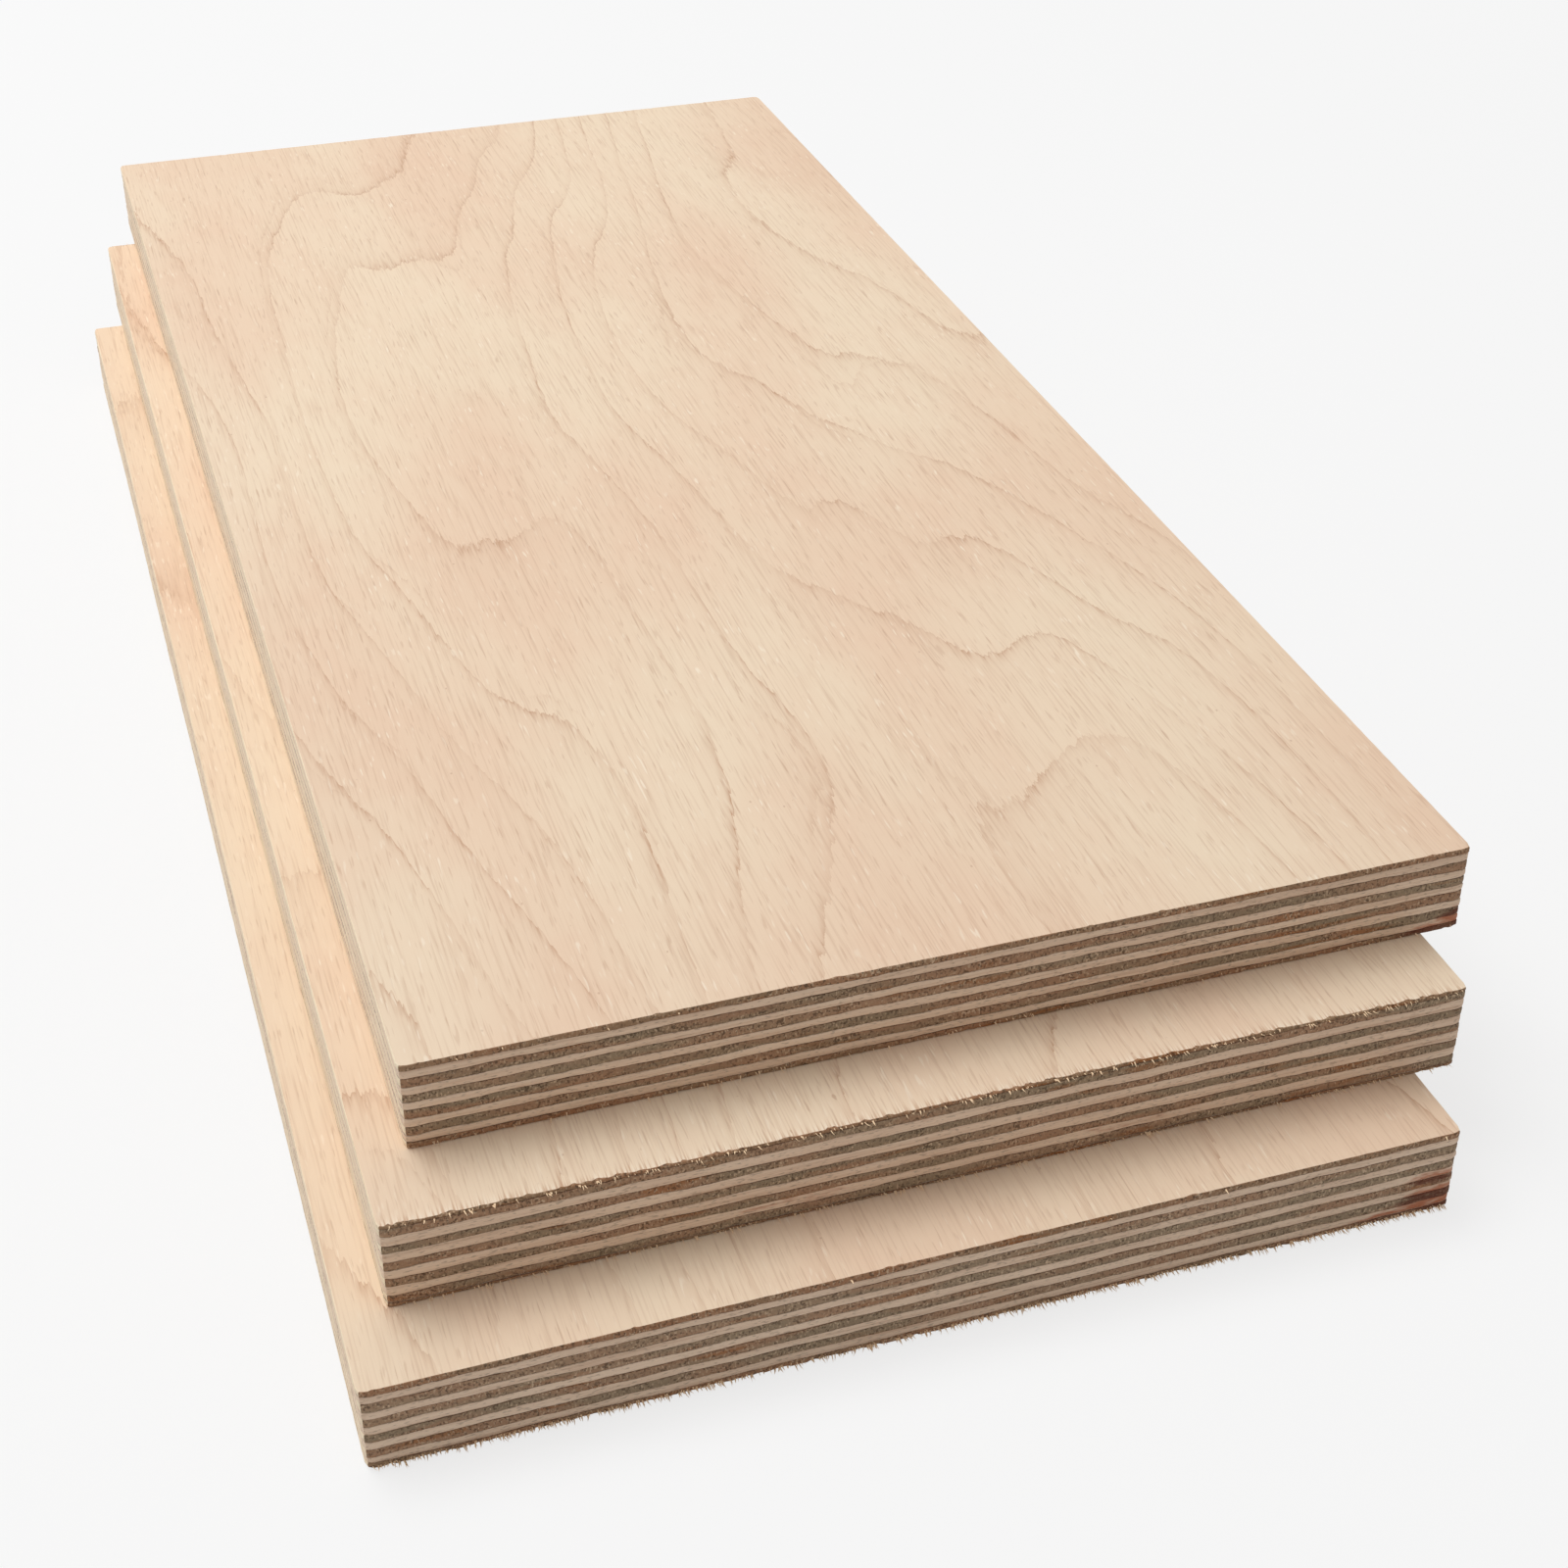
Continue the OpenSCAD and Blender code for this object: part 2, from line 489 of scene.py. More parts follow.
# What makes each finish, with its settings
FINISHES = {
    "face_long": (face_finish, {"grain": "Y"}),
    "face_cross": (face_finish, {"grain": "X"}),
    # side_grain_long takes the edge colours, which hold painted light
    "side_grain_long": (side_grain_finish, {"grain": "Y", "cut": "edge", "pores": 0.14}),
    "side_grain_cross": (side_grain_finish, {"grain": "X", "cut": "side", "pores": 0.36}),
    "end_grain_ends": (end_grain_finish, {"pale": 0.0, "orange": 0.0}),
    "end_grain_outer": (end_grain_finish, {"pale": 0.0, "orange": 0.3}),
    # end_grain_edges is the end grain painted pale, in the pink of a long edge: painted light, a lit copy of
    # the end grain on the ends
    "end_grain_edges": (end_grain_finish, {"pale": 0.92, "orange": 0.0}),
    "splinters": (splinter_finish, {}),
}

# Finishes of a veneer's flat sides, its rim at the ends, its rim at the long edges and its splinters
VENEER_FINISHES = {
    "outer": ("face_long", "end_grain_outer", "side_grain_long", "splinters"),
    "long": ("face_long", "end_grain_ends", "side_grain_long"),
    "cross": ("face_cross", "side_grain_cross", "end_grain_edges"),
}
FLAT, END, EDGE, SPLINTER = range(4)


def finish_named(name):
    """The finish of that name, made the first time that it is asked for."""
    make, settings = FINISHES[name]
    return bpy.data.materials.get(name) or make(name, bpy.context.scene.wood_colours, **settings)


# The surface of a sawn veneer

# The way out of each side of its outline, in order: front end, right edge, back end and left edge
WAYS_OUT = np.array([(0.0, -1.0), (1.0, 0.0), (0.0, 1.0), (-1.0, 0.0)])
FRONT_END, BACK_END = 0, 2

# How far from a corner the points of a side follow it, how far behind a torn arris its band of quads
# ends, and how far in from the rim the grid of a flat side starts
CORNER_PULL = 5 * MM
BAND_WIDTH = 2 * MM
GRID_MARGIN = 4 * MM

# Faces that meet at a larger angle than this have a sharp edge
SHARP_ANGLE = math.radians(38)

# Rows of a rim as shares of the thickness, and how much of the groove, the eased arris and a chip each
# of them has. The rows of an outer veneer are counted from its glue joint.
INNER_ROWS = np.array([0.0, 0.09, 0.5, 0.91, 1.0])
INNER_GROOVE = np.array([1.0, 0.2, 0.0, 0.2, 1.0])
OUTER_ROWS = np.array([0.0, 0.09, 0.45, 0.72, 0.92, 1.0])
OUTER_GROOVE = np.array([1.0, 0.2, 0.0, 0.0, 0.0, 0.0])
OUTER_ARRIS = np.array([0.0, 0.0, 0.0, 0.0, 0.3, 1.0])
OUTER_CHIPS = np.array([0.0, 0.0, 0.0, 0.15, 0.55, 1.0])

# Chips: shares of the full width, the share of the full depth that the least torn arris has, and the
# powers that make most chips shallow and curve the sides of a notch
CHIP_WIDTHS = (0.25, 1.0)
LEAST_CHIP_DEPTH = 0.3
CHIP_DEPTH_POWER = 2.2
NOTCH_POWER = 1.4

# Splinters, in random shares: the shortest length, the width, the root's distance from the outer side,
# the lean aside and the drop to the outer side. Powers thin them out on a less torn end, make most of
# them short and curve them.
SHORTEST_SPLINTER = 0.25
BREADTHS = (0.35, 1.0)
ROOT_PLACES = (0.15, 0.75)
SPLINTER_LEAN = 0.3
SPLINTER_DROPS = (0.0, 0.7)
COUNT_POWER = 1.8
LENGTH_POWER = 1.6
CURVE_POWER = 1.6

# One splinter: how deep its root is in the wood, how clear of the outer side it stays, its steps along
# its length with the width at each, the height of its section, and its faces
ROOT_DEPTH = 0.4 * MM
CLEARANCE = 0.02 * MM
SPLINTER_STEPS = np.array([0.0, 0.55, 1.0])
SPLINTER_WIDTHS = np.array([1.0, 0.6, 0.0])
SPLINTER_HEIGHT = 0.45
SPLINTER_QUADS = np.array([(0, 1, 4, 3), (1, 2, 5, 4), (2, 0, 3, 5)])
SPLINTER_TRIANGLES = np.array([(3, 4, 6), (4, 5, 6), (5, 3, 6), (0, 2, 1)])

# The bake map: rows of the rim with their strip, the strips of the lower and the upper flat side, and
# the splinters' strip. What lies in a strip or a row keeps a margin, given as a share of it.
BAKE_MAP = "OFBake"
BAKE_LAYOUT = {
    "inner": ((16, 0.10, 1.00), (0.00, 0.045), (0.05, 0.095), None),
    "face": ((6, 0.08, 0.34), (0.05, 0.075), (0.35, 0.995), (0.005, 0.045)),
    "back": ((6, 0.08, 0.34), (0.35, 0.995), (0.05, 0.075), (0.005, 0.045)),
}
ROW_MARGIN = 0.1
RIM_MARGIN = 0.01
FLAT_MARGIN = 0.005
SPLINTER_MARGIN = 0.02


def inside(share, margin):
    """A share from 0 to 1 moved in, so that it leaves the margin free at both ends."""
    return margin + (1 - 2 * margin) * share


class Path:
    """A closed path round a veneer's outline, as arrays over its points. Each side has even steps."""

    def __init__(self, low, high, end_spacing, edge_spacing):
        self.low = np.array(low)
        self.high = np.array(high)
        corners = np.array([(low.x, low.y), (high.x, low.y), (high.x, high.y), (low.x, high.y)])
        legs = np.roll(corners, -1, axis=0) - corners
        lengths = np.abs(legs).sum(axis=1)
        counts = np.ceil(lengths / np.array([end_spacing, edge_spacing] * 2)).astype(int)
        self.corners = np.cumsum(counts) - counts
        self.side = np.repeat(np.arange(4), counts)
        self.on_end = (self.side == FRONT_END) | (self.side == BACK_END)
        share = (np.arange(counts.sum()) - self.corners[self.side]) / counts[self.side]
        self.place = corners[self.side] + legs[self.side] * share[:, None]
        self.from_corner = lengths[self.side] * share
        self.to_corner = lengths[self.side] - self.from_corner
        self.distance = (np.cumsum(lengths) - lengths)[self.side] + self.from_corner
        self.total = lengths.sum()
        self.count = len(share)
        self.following = np.roll(np.arange(self.count), -1)

    def wobble(self, wavelength, rng, rows=1):
        """Smooth random rows along the path: knots a wavelength apart, eased by 3t² - 2t³ between."""
        knots = max(int(self.total / wavelength), 4)
        at = self.distance / self.total * knots
        before = at.astype(int) % knots
        ease = (at % 1) ** 2 * (3 - 2 * (at % 1))
        values = rng.uniform(-1, 1, (rows, knots))
        return values[:, before] * (1 - ease) + values[:, (before + 1) % knots] * ease

    def moved(self, out):
        """Rows of the path, moved out by a distance for each row and point. Near a corner a point also
        follows the corner along its side, by a share that falls evenly to none, so that no step of the
        path turns over."""
        rows = self.place + out[..., None] * WAYS_OUT[self.side]
        for distance, turn in ((self.from_corner, 0), (self.to_corner, 1)):
            corner = self.corners[(self.side + turn) % 4]
            share = np.clip(1 - distance / CORNER_PULL, 0, 1)
            rows += (out[:, corner] * share)[..., None] * WAYS_OUT[(self.side + 2 * turn - 1) % 4]
        return rows


def rim_rows(kind, rim):
    """Heights of the rim's rows as shares of the thickness, how far each lies in from the sawn face in
    a groove or an eased arris, and how much of a chip it has. The rows of a back veneer are those of a
    face turned over."""
    if kind in ("long", "cross"):
        return INNER_ROWS, INNER_GROOVE * rim.groove, np.zeros_like(INNER_ROWS)
    insets = OUTER_GROOVE * rim.groove + OUTER_ARRIS * rim.arris
    if kind == "face":
        return OUTER_ROWS, insets, OUTER_CHIPS
    return 1 - OUTER_ROWS[::-1], insets[::-1], OUTER_CHIPS[::-1]


def joint_heights(path, board, height, rim):
    """How far a glue joint strays up and down along the path: two wobbles, the second shorter and
    weaker. They depend only on the board and the joint's height, so the two veneers at a joint follow
    the same line."""
    hundredths = round(height / MM * 100)
    rng = np.random.default_rng([BOARDS.index(board), hundredths])
    broad = path.wobble(rim.joint_length, rng)[0]
    fine = path.wobble(rim.joint_length / 4, rng)[0]
    return rim.joint_wander * (0.7 * broad + 0.3 * fine)


def chips(path, tear, fibres, rng):
    """Depth of the chips in a torn arris at each point of the path. A chip is a notch that falls off as
    1 - |d/w|^1.4, with d the distance from its middle and w half its width. Where several meet, the
    deepest counts."""
    depth = np.zeros(path.count)
    for end in (FRONT_END, BACK_END):
        on_end = path.side == end
        across = path.place[on_end, 0]
        middle = rng.uniform(path.low[0], path.high[0], int(fibres.chips * tear * np.ptp(across)))
        half_width = fibres.chip_width * rng.uniform(*CHIP_WIDTHS, len(middle))
        full_depth = fibres.chip_depth * (LEAST_CHIP_DEPTH + (1 - LEAST_CHIP_DEPTH) * tear)
        deepest = full_depth * rng.random(len(middle)) ** CHIP_DEPTH_POWER
        offset = np.abs(across - middle[:, None]) / half_width[:, None]
        notches = deepest[:, None] * np.clip(1 - offset**NOTCH_POWER, 0, None)
        depth[on_end] = notches.max(axis=0, initial=0.0)
    return depth


def burn_marks(board, places):
    """How dark the burns are at some places: 1.4 - r² between 0 and 1, with r the distance from a
    burn's middle in shares of its half length and half height. They lie on the front end."""
    low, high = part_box(f"{board}_back_veneer")
    inwards = (high.x - places[..., 0]) / MM
    height = (places[..., 2] - low.z) / MM
    on_front = places[..., 1] < low.y + MM
    marks = [
        dark * np.clip(1.4 - ((inwards - x) / half_x) ** 2 - ((height - z) / half_z) ** 2, 0, 1)
        for x, z, half_x, half_z, dark in BURNS[board]
    ]
    return np.max(marks, axis=0) * on_front


class VeneerMesh:
    """Arrays of one veneer's mesh: points, quads and triangles, and what each of them carries."""

    # How many corners a face may have, in the order that faces go into the mesh
    CORNERS = (4, 3)

    def __init__(self):
        self.points = []
        self.faces = {corners: [] for corners in self.CORNERS}
        self.maps = {corners: [] for corners in self.CORNERS}
        self.finishes = {corners: [] for corners in self.CORNERS}
        self.count = 0

    def add_points(self, points):
        """Adds points and gives the number of the first."""
        first = self.count
        self.points.append(points.reshape(-1, 3))
        self.count += len(self.points[-1])
        return first

    def add_faces(self, faces, places_on_map, finish):
        """Adds faces of three or four corners with each corner's place on the bake map."""
        corners = faces.shape[-1]
        self.faces[corners].append(faces.reshape(-1, corners))
        self.maps[corners].append(places_on_map.reshape(-1, 2))
        self.finishes[corners].append(np.broadcast_to(finish, faces.shape[:-1]).ravel())

    def in_order(self, groups):
        """What the faces carry, quads first."""
        return [group for corners in self.CORNERS for group in groups[corners]]

    def build(self, name, finishes, values):
        """Makes the object. Values are numbers that each point holds."""
        faces = [face for group in self.in_order(self.faces) for face in group.tolist()]
        mesh = bpy.data.meshes.new(name)
        mesh.from_pydata(np.concatenate(self.points), [], faces)
        places = np.concatenate(self.in_order(self.maps))
        mesh.uv_layers.new(name=BAKE_MAP).data.foreach_set("uv", places.astype(np.float32).ravel())
        finish = np.concatenate(self.in_order(self.finishes))
        mesh.polygons.foreach_set("material_index", finish.astype(np.int32))
        mesh.set_sharp_from_angle(angle=SHARP_ANGLE)
        mesh.polygons.foreach_set("use_smooth", finish != FLAT)
        for key, value in values.items():
            attribute = mesh.attributes.new(key, "FLOAT", "POINT")
            attribute.data.foreach_set("value", np.broadcast_to(value, self.count).astype(np.float32))
        for finish_name in finishes:
            mesh.materials.append(finish_named(finish_name))
        mesh.update()
        piece = bpy.data.objects.new(name, mesh)
        bpy.context.scene.collection.objects.link(piece)
        return piece


def add_rim(mesh, path, rings, heights, layout):
    """Joins the rim's rings with quads. On the bake map the rim is cut into equal lengths, in rows."""
    first = mesh.add_points(rings)
    here = np.arange(path.count)
    ring = np.arange(len(rings) - 1)[:, None] * path.count + first
    above = ring + path.count
    quads = np.stack([ring + here, ring + path.following, above + path.following, above + here], axis=-1)
    start = path.distance
    end = np.r_[start[1:], path.total]
    rows, low, high = layout
    row = np.floor((start + end) / 2 / path.total * rows)
    share = np.stack([start, end, end, start], axis=-1) / path.total * rows - row[:, None]
    pair = np.stack([heights[:-1], heights[:-1], heights[1:], heights[1:]], axis=-1)
    v = low + (row[None, :, None] + inside(pair[:, None, :], ROW_MARGIN)) / rows * (high - low)
    u = np.broadcast_to(inside(share, RIM_MARGIN), v.shape)
    mesh.add_faces(quads, np.stack([u, v], axis=-1), np.where(path.on_end, END, EDGE))
    return first


def add_flat_faces(mesh, path, faces, upwards, strip):
    """Adds faces of a flat side. On the bake map a flat side is one strip, seen from above."""
    faces = faces if upwards else faces[:, ::-1]
    left, right = strip
    share = (np.concatenate(mesh.points)[faces][..., :2] - path.low[:2]) / (path.high - path.low)[:2]
    u = inside(share[..., 1], FLAT_MARGIN)
    v = left + (right - left) * share[..., 0]
    mesh.add_faces(faces, np.stack([u, v], axis=-1), FLAT)


def add_band(mesh, path, outline, height, upwards, strip):
    """Quads from a torn arris straight in to an even ring behind its deepest chip, so that no face
    beyond them folds over. Gives the number of the ring's first point."""
    points = np.full((path.count, 3), height)
    points[:, :2] = path.moved(np.full((1, path.count), -BAND_WIDTH))[0]
    ring = mesh.add_points(points)
    here = np.arange(path.count)
    corners = [outline + here, outline + path.following, ring + path.following, ring + here]
    add_flat_faces(mesh, path, np.stack(corners, axis=-1), upwards, strip)
    return ring


def add_flat_side(mesh, path, outline, height, cell, upwards, strip):
    """Closes a ring: a grid of even cells that stops short of the rim, and triangles that join each
    point of the ring to the nearest point of the grid's border."""
    low = path.low[:2] + GRID_MARGIN
    high = path.high[:2] - GRID_MARGIN
    counts = np.ceil((high - low) / cell).astype(int) + 1
    lines = [np.linspace(low[axis], high[axis], counts[axis]) for axis in (0, 1)]
    columns, rows = np.meshgrid(*lines)
    grid = np.stack([columns, rows, np.full_like(rows, height)], axis=-1)
    first = mesh.add_points(grid)
    number = first + np.arange(rows.size).reshape(rows.shape)
    quads = np.stack([number[:-1, :-1], number[:-1, 1:], number[1:, 1:], number[1:, :-1]], axis=-1)
    step = np.rint((path.place - low) / (high - low) * (counts - 1)).astype(int)
    column, row = np.clip(step, 0, counts - 1).T
    nearest = number[row, column]
    following = nearest[path.following]
    here = outline + np.arange(path.count)
    triangles = np.concatenate([
        np.stack([here, outline + path.following, following], axis=-1),
        np.stack([here, following, nearest], axis=-1)[nearest != following],
    ])
    for faces in (quads.reshape(-1, 4), triangles):
        add_flat_faces(mesh, path, faces, upwards, strip)


def add_splinters(mesh, path, kind, tear, fibres, rng, strip):
    """Slivers that stand out of both torn ends. Each has a three-sided root in the wood, a narrower
    three-sided waist past half its length and a tip. It leans aside and towards the outer side by
    random shares of its length."""
    width, _, thickness = path.high - path.low
    outer, inwards = (path.low[2], 1) if kind == "back" else (path.high[2], -1)
    count = int(fibres.splinters * tear**COUNT_POWER * width)
    low, high = strip
    for end, out in ((FRONT_END, -1), (BACK_END, 1)):
        longer = (1 - SHORTEST_SPLINTER) * rng.random(count) ** LENGTH_POWER
        length = fibres.splinter_length * (SHORTEST_SPLINTER + longer)
        broad = fibres.splinter_width * rng.uniform(*BREADTHS, count)
        root = np.stack([
            rng.uniform(path.low[0] + MM, path.high[0] - MM, count),
            np.full(count, path.low[1] if out < 0 else path.high[1]) - out * ROOT_DEPTH,
            outer + inwards * thickness * rng.uniform(*ROOT_PLACES, count),
        ], axis=-1)
        lean = rng.normal(0, SPLINTER_LEAN, count) * length
        full_drop = outer + inwards * CLEARANCE - root[:, 2]
        drop = full_drop * rng.uniform(*SPLINTER_DROPS, count)
        spine = root[:, None, :] + np.stack([
            lean[:, None] * SPLINTER_STEPS**CURVE_POWER,
            out * (length[:, None] + ROOT_DEPTH) * SPLINTER_STEPS,
            drop[:, None] * SPLINTER_STEPS,
        ], axis=-1)
        half = out * inwards / 2
        section = np.array([(-half, 0.0, 0.0), (0.0, 0.0, inwards * SPLINTER_HEIGHT), (half, 0.0, 0.0)])
        body = broad[:, None, None, None] * SPLINTER_WIDTHS[:, None, None] * section
        rings = (spine[:, :, None, :] + body)[:, :2]
        points = np.concatenate([rings.reshape(count, 6, 3), spine[:, 2:]], axis=1)
        first = mesh.add_points(points)
        u = (inside((points[..., 0] - path.low[0]) / width, SPLINTER_MARGIN) + (end == BACK_END)) / 2
        v = low + (high - low) * np.broadcast_to(np.repeat(SPLINTER_STEPS, (3, 3, 1)), u.shape)
        places = np.stack([u, v], axis=-1).reshape(-1, 2)
        for corners in (SPLINTER_QUADS, SPLINTER_TRIANGLES):
            numbers = points.shape[1] * np.arange(count)[:, None, None] + corners
            mesh.add_faces(first + numbers, places[numbers], SPLINTER)


def rim_rings(path, board, kind, tear, rng):
    """Rings of points round a veneer, one for each row of its rim, and the rows' heights as shares of
    the thickness. The saw's wander is the same for all veneers of a board, and each veneer adds its own
    step, fuzz, groove or eased arris, corner wear and, where it is torn, chips."""
    rim = bpy.context.scene.sawn_rim
    heights, insets, chip_share = rim_rows(kind, rim)
    board_rng = np.random.default_rng(BOARDS.index(board))
    wander = rim.wander * (path.wobble(rim.wander_length, board_rng) - 1)
    fuzz = rim.fuzz * path.wobble(rim.fuzz_length, rng, len(heights))
    to_corner = np.minimum(path.from_corner, path.to_corner)
    wear = rim.corner_wear * np.clip(1 - to_corner / rim.corner_reach, 0, None) ** 2
    out = wander + rim.veneer_step * rng.uniform(-1, 1) + fuzz - wear - insets[:, None]
    if tear:
        out = out - chip_share[:, None] * chips(path, tear, bpy.context.scene.torn_fibres, rng)
    lower, upper = path.low[2], path.high[2]
    lower_joint = 0.0 if kind == "back" else joint_heights(path, board, lower, rim)
    upper_joint = 0.0 if kind == "face" else joint_heights(path, board, upper, rim)
    share = heights[:, None]
    rings = np.empty((*out.shape, 3))
    rings[..., :2] = path.moved(out)
    rings[..., 2] = (lower + lower_joint) * (1 - share) + (upper + upper_joint) * share
    return rings, heights


def sawn_veneer(node, kind):
    """Makes one veneer in its node's place: its rim, its two flat sides and, on an outer veneer, its
    splinters. Each point holds the veneer's tone, its distance from a glue joint in millimetres, and
    how torn and burned it is."""
    scene = bpy.context.scene
    rim = scene.sawn_rim
    board = next(name for name in BOARDS if node.startswith(name))
    outer = kind in ("back", "face")
    tear = TEARS[board][kind] if outer else 0.0
    low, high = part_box(node)
    rng = np.random.default_rng(NODES.index(node))
    tone = rng.random()
    path = Path(low, high, rim.torn_spacing if outer else rim.end_spacing, rim.edge_spacing)
    rings, heights = rim_rings(path, board, kind, tear, rng)
    mesh = VeneerMesh()
    rim_layout, lower, upper, splinters = BAKE_LAYOUT[kind if outer else "inner"]
    first = add_rim(mesh, path, rings, heights, rim_layout)
    rim_points = mesh.count
    last = rim_points - path.count
    if kind == "back":
        first = add_band(mesh, path, first, low.z, False, lower)
    if kind == "face":
        last = add_band(mesh, path, last, high.z, True, upper)
    band_end = mesh.count
    add_flat_side(mesh, path, first, low.z, rim.cell, False, lower)
    add_flat_side(mesh, path, last, high.z, rim.cell, True, upper)
    if outer:
        add_splinters(mesh, path, kind, tear, scene.torn_fibres, rng, splinters)
    places = np.concatenate(mesh.points)
    up = (places[:, 2] - low.z) / (high.z - low.z)
    up[:rim_points] = np.repeat(heights, path.count)
    from_joint = {"face": up, "back": 1 - up}.get(kind, np.minimum(up, 1 - up)) * (high.z - low.z) / MM
    torn = np.zeros(mesh.count)
    torn_ends = np.where(path.on_end, tear, 0.0)
    torn[:rim_points] = np.tile(torn_ends, len(heights))
    if outer:
        torn[rim_points:band_end] = torn_ends * (1 - BAND_WIDTH / GRID_MARGIN)
    values = {"tone": tone, "from_joint": from_joint, "torn": torn, "burn": burn_marks(board, places)}
    piece = mesh.build(node.replace("veneer", "sheet"), VENEER_FINISHES["outer" if outer else kind], values)
    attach(piece, BODY)
    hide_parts(node)


def make_veneers(*kinds):
    """Makes every veneer of some kinds. A node is named for its board and its kind."""
    for node in NODES:
        kind = node.split("_board_")[1].split("_")[0]
        if kind in kinds:
            sawn_veneer(node, kind)


class PLYWOOD_OT_outer_veneers(bpy.types.Operator):
    """Make the face and the back veneer of each board"""

    bl_idname = "plywood.outer_veneers"
    bl_label = "Outer Veneers"

    def execute(self, context):
        make_veneers("back", "face")
        return {"FINISHED"}


class PLYWOOD_OT_long_veneers(bpy.types.Operator):
    """Make the inner veneers whose grain runs along the boards"""

    bl_idname = "plywood.long_veneers"
    bl_label = "Long Veneers"

    def execute(self, context):
        make_veneers("long")
        return {"FINISHED"}


class PLYWOOD_OT_cross_veneers(bpy.types.Operator):
    """Make the inner veneers whose grain runs across the boards"""

    bl_idname = "plywood.cross_veneers"
    bl_label = "Cross Veneers"

    def execute(self, context):
        make_veneers("cross")
        return {"FINISHED"}


# The studio

# The camera's sensor in millimetres, how near it sees, and the steps in which it is moved into place
SENSOR_WIDTH = 36.0
CLIP_START = 0.01
FIT_STEPS = 60
FIT_SHARE = 0.7

# The floor's rings, the points on each, and the gap under the stack
FLOOR_RADII = np.geomspace(0.05, 12.0, 24)
FLOOR_SEGMENTS = 96
FLOOR_GAP = 0.2 * MM


def board_corners():
    """The eight corners of each board, from its outer veneers."""
    ends = [(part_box(f"{board}_back_veneer")[0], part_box(f"{board}_face_veneer")[1]) for board in BOARDS]
    return np.array([(x, y, z) for a, b in ends for x in (a.x, b.x) for y in (a.y, b.y) for z in (a.z, b.z)])


def add_camera(studio):
    """A camera in a fixed direction. It is moved until the corners of the boards, seen through the lens
    in a square frame, are centred and their longer span is the wanted share of that frame."""
    data = bpy.data.cameras.new("camera")
    data.lens = studio.lens
    data.sensor_width = SENSOR_WIDTH
    data.clip_start = CLIP_START
    heading, pitch = studio.heading, studio.pitch
    level = math.cos(pitch)
    ahead = np.array([math.sin(heading) * level, math.cos(heading) * level, -math.sin(pitch)])
    right = np.array([math.cos(heading), -math.sin(heading), 0.0])
    up = np.cross(right, ahead)
    corners = board_corners()
    zoom = data.lens / (data.sensor_width / 2)
    place = corners.mean(axis=0) - ahead
    for _ in range(FIT_STEPS):
        offset = corners - place
        depth = offset @ ahead
        seen = np.stack([offset @ right, offset @ up], axis=-1) / depth[:, None] * zoom
        low, high = seen.min(axis=0), seen.max(axis=0)
        middle = (low + high) / 2 * depth.mean() / zoom
        nearer = depth.mean() * (1 - (high - low).max() / 2 / studio.fill)
        place = place + right * middle[0] + up * middle[1] + ahead * nearer * FIT_SHARE
    camera = bpy.data.objects.new("camera", data)
    turn = Matrix(np.stack([right, up, -ahead], axis=-1).tolist()).to_4x4()
    camera.matrix_world = Matrix.Translation(place.tolist()) @ turn
    bpy.context.scene.collection.objects.link(camera)
    bpy.context.scene.camera = camera


def add_key_lamp(studio):
    """A large soft lamp above the back left, so that the tops are brightest and the ends in shade."""
    data = bpy.data.lights.new("key_lamp", "AREA")
    data.shape = "RECTANGLE"
    data.size = studio.key_width
    data.size_y = studio.key_depth
    data.energy = studio.key_power
    lamp = bpy.data.objects.new("key_lamp", data)
    lamp.location = studio.key_place
    lamp.rotation_euler = (-lamp.location).to_track_quat("-Z", "Y").to_euler()
    bpy.context.scene.collection.objects.link(lamp)


def add_floor(studio):
    """A wide round floor just under the stack: rings that grow by a fixed share, joined by quads."""
    turn = np.linspace(0, 2 * np.pi, FLOOR_SEGMENTS, endpoint=False)
    circle = np.stack([np.cos(turn), np.sin(turn), np.zeros_like(turn)], axis=-1)
    rings = FLOOR_RADII[:, None, None] * circle
    points = np.r_[np.zeros((1, 3)), rings.reshape(-1, 3)] - (0, 0, FLOOR_GAP)
    here = 1 + np.arange(FLOOR_SEGMENTS)
    following = np.roll(here, -1)
    fan = np.stack([np.zeros_like(here), here, following], axis=-1)
    inner = FLOOR_SEGMENTS * np.arange(len(rings) - 1)[:, None]
    outer = inner + FLOOR_SEGMENTS
    quads = np.stack([inner + here, outer + here, outer + following, inner + following], axis=-1)
    mesh = bpy.data.meshes.new("floor")
    mesh.from_pydata(points, [], fan.tolist() + quads.reshape(-1, 4).tolist())
    material = bpy.data.materials.new("floor")
    material.use_nodes = True
    finish = Finish(material.node_tree)
    matt = finish.node("ShaderNodeBsdfDiffuse", inputs={"Color": (*studio.floor, 1.0)})
    white = finish.node("ShaderNodeEmission", inputs={"Color": WHITE, "Strength": 1.0})
    place = finish.node("ShaderNodeTexCoord", output="Object")
    distance = finish.node("ShaderNodeVectorMath", {"operation": "LENGTH"}, {0: place}, "Value")
    fade = distance.ramp(studio.fade_start, studio.fade_end)
    glow = finish.seen() * (fade * (1 - studio.floor_glow) + studio.floor_glow)
    shader = finish.node("ShaderNodeMixShader", inputs={0: glow, 1: matt, 2: white})
    finish.node("ShaderNodeOutputMaterial", inputs={"Surface": shader})
    mesh.materials.append(material)
    floor = bpy.data.objects.new("floor", mesh)
    bpy.context.scene.collection.objects.link(floor)


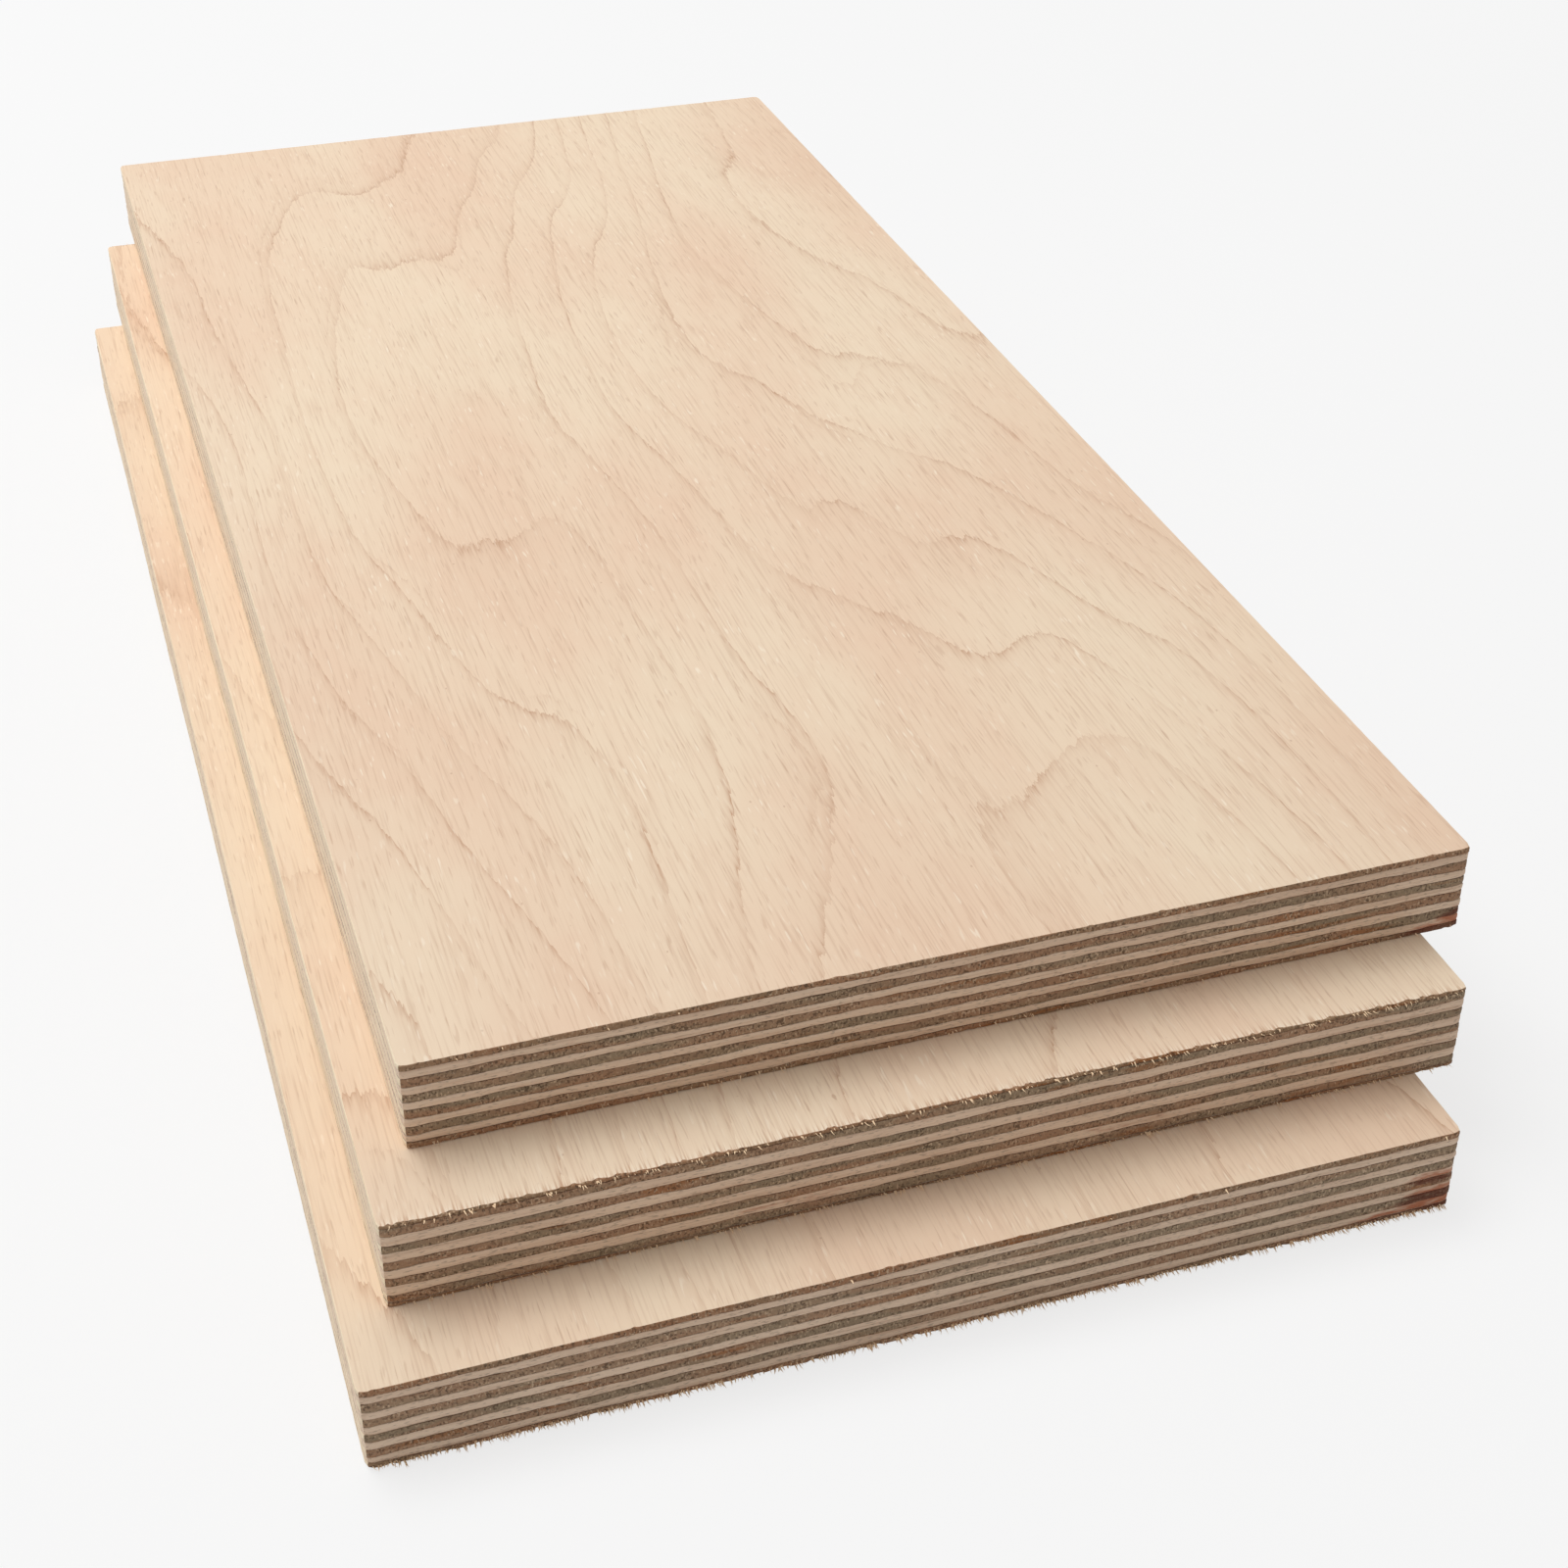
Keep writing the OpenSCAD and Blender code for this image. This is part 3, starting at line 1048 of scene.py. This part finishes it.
def add_sky(studio):
    """Even white light from all round, which the camera sees as plain white."""
    world = bpy.data.worlds.new("sky")
    world.use_nodes = True
    bpy.context.scene.world = world
    finish = Finish(world.node_tree)
    light = finish.node("ShaderNodeBackground", inputs={"Color": WHITE, "Strength": studio.sky})
    white = finish.node("ShaderNodeBackground", inputs={"Color": WHITE, "Strength": 1.0})
    shader = finish.node("ShaderNodeMixShader", inputs={0: finish.seen(), 1: light, 2: white})
    finish.node("ShaderNodeOutputWorld", inputs={"Surface": shader})


class PLYWOOD_OT_studio(bpy.types.Operator):
    """Make the floor, the light and the camera"""

    bl_idname = "plywood.studio"
    bl_label = "Studio"

    def execute(self, context):
        studio = context.scene.studio
        context.scene.view_settings.view_transform = "Standard"
        add_floor(studio)
        add_sky(studio)
        add_key_lamp(studio)
        add_camera(studio)
        return {"FINISHED"}


SETTINGS = {"sawn_rim": SawnRim, "torn_fibres": TornFibres, "wood_colours": WoodColours, "studio": Studio}
OPERATORS = (
    PLYWOOD_OT_outer_veneers,
    PLYWOOD_OT_long_veneers,
    PLYWOOD_OT_cross_veneers,
    PLYWOOD_OT_studio,
)


class PLYWOOD_PT_stack(bpy.types.Panel):
    """Steps, sizes and colours of the stack"""

    bl_idname = "PLYWOOD_PT_stack"
    bl_label = "Plywood Board Stack"
    bl_space_type = "VIEW_3D"
    bl_region_type = "UI"
    bl_category = "Plywood"

    def draw(self, context):
        for operator in OPERATORS:
            self.layout.operator(operator.bl_idname)
        for name, group in SETTINGS.items():
            box = self.layout.box()
            for setting in group.__annotations__:
                box.prop(getattr(context.scene, name), setting)


CLASSES = (*SETTINGS.values(), *OPERATORS, PLYWOOD_PT_stack)


def register():
    for cls in CLASSES:
        bpy.utils.register_class(cls)
    for name, group in SETTINGS.items():
        setattr(bpy.types.Scene, name, PointerProperty(type=group))


def unregister():
    for name in SETTINGS:
        delattr(bpy.types.Scene, name)
    for cls in reversed(CLASSES):
        bpy.utils.unregister_class(cls)


def main():
    register()
    bpy.ops.plywood.outer_veneers()
    bpy.ops.plywood.long_veneers()
    bpy.ops.plywood.cross_veneers()
    bpy.ops.plywood.studio()


if __name__ == "__main__":
    main()
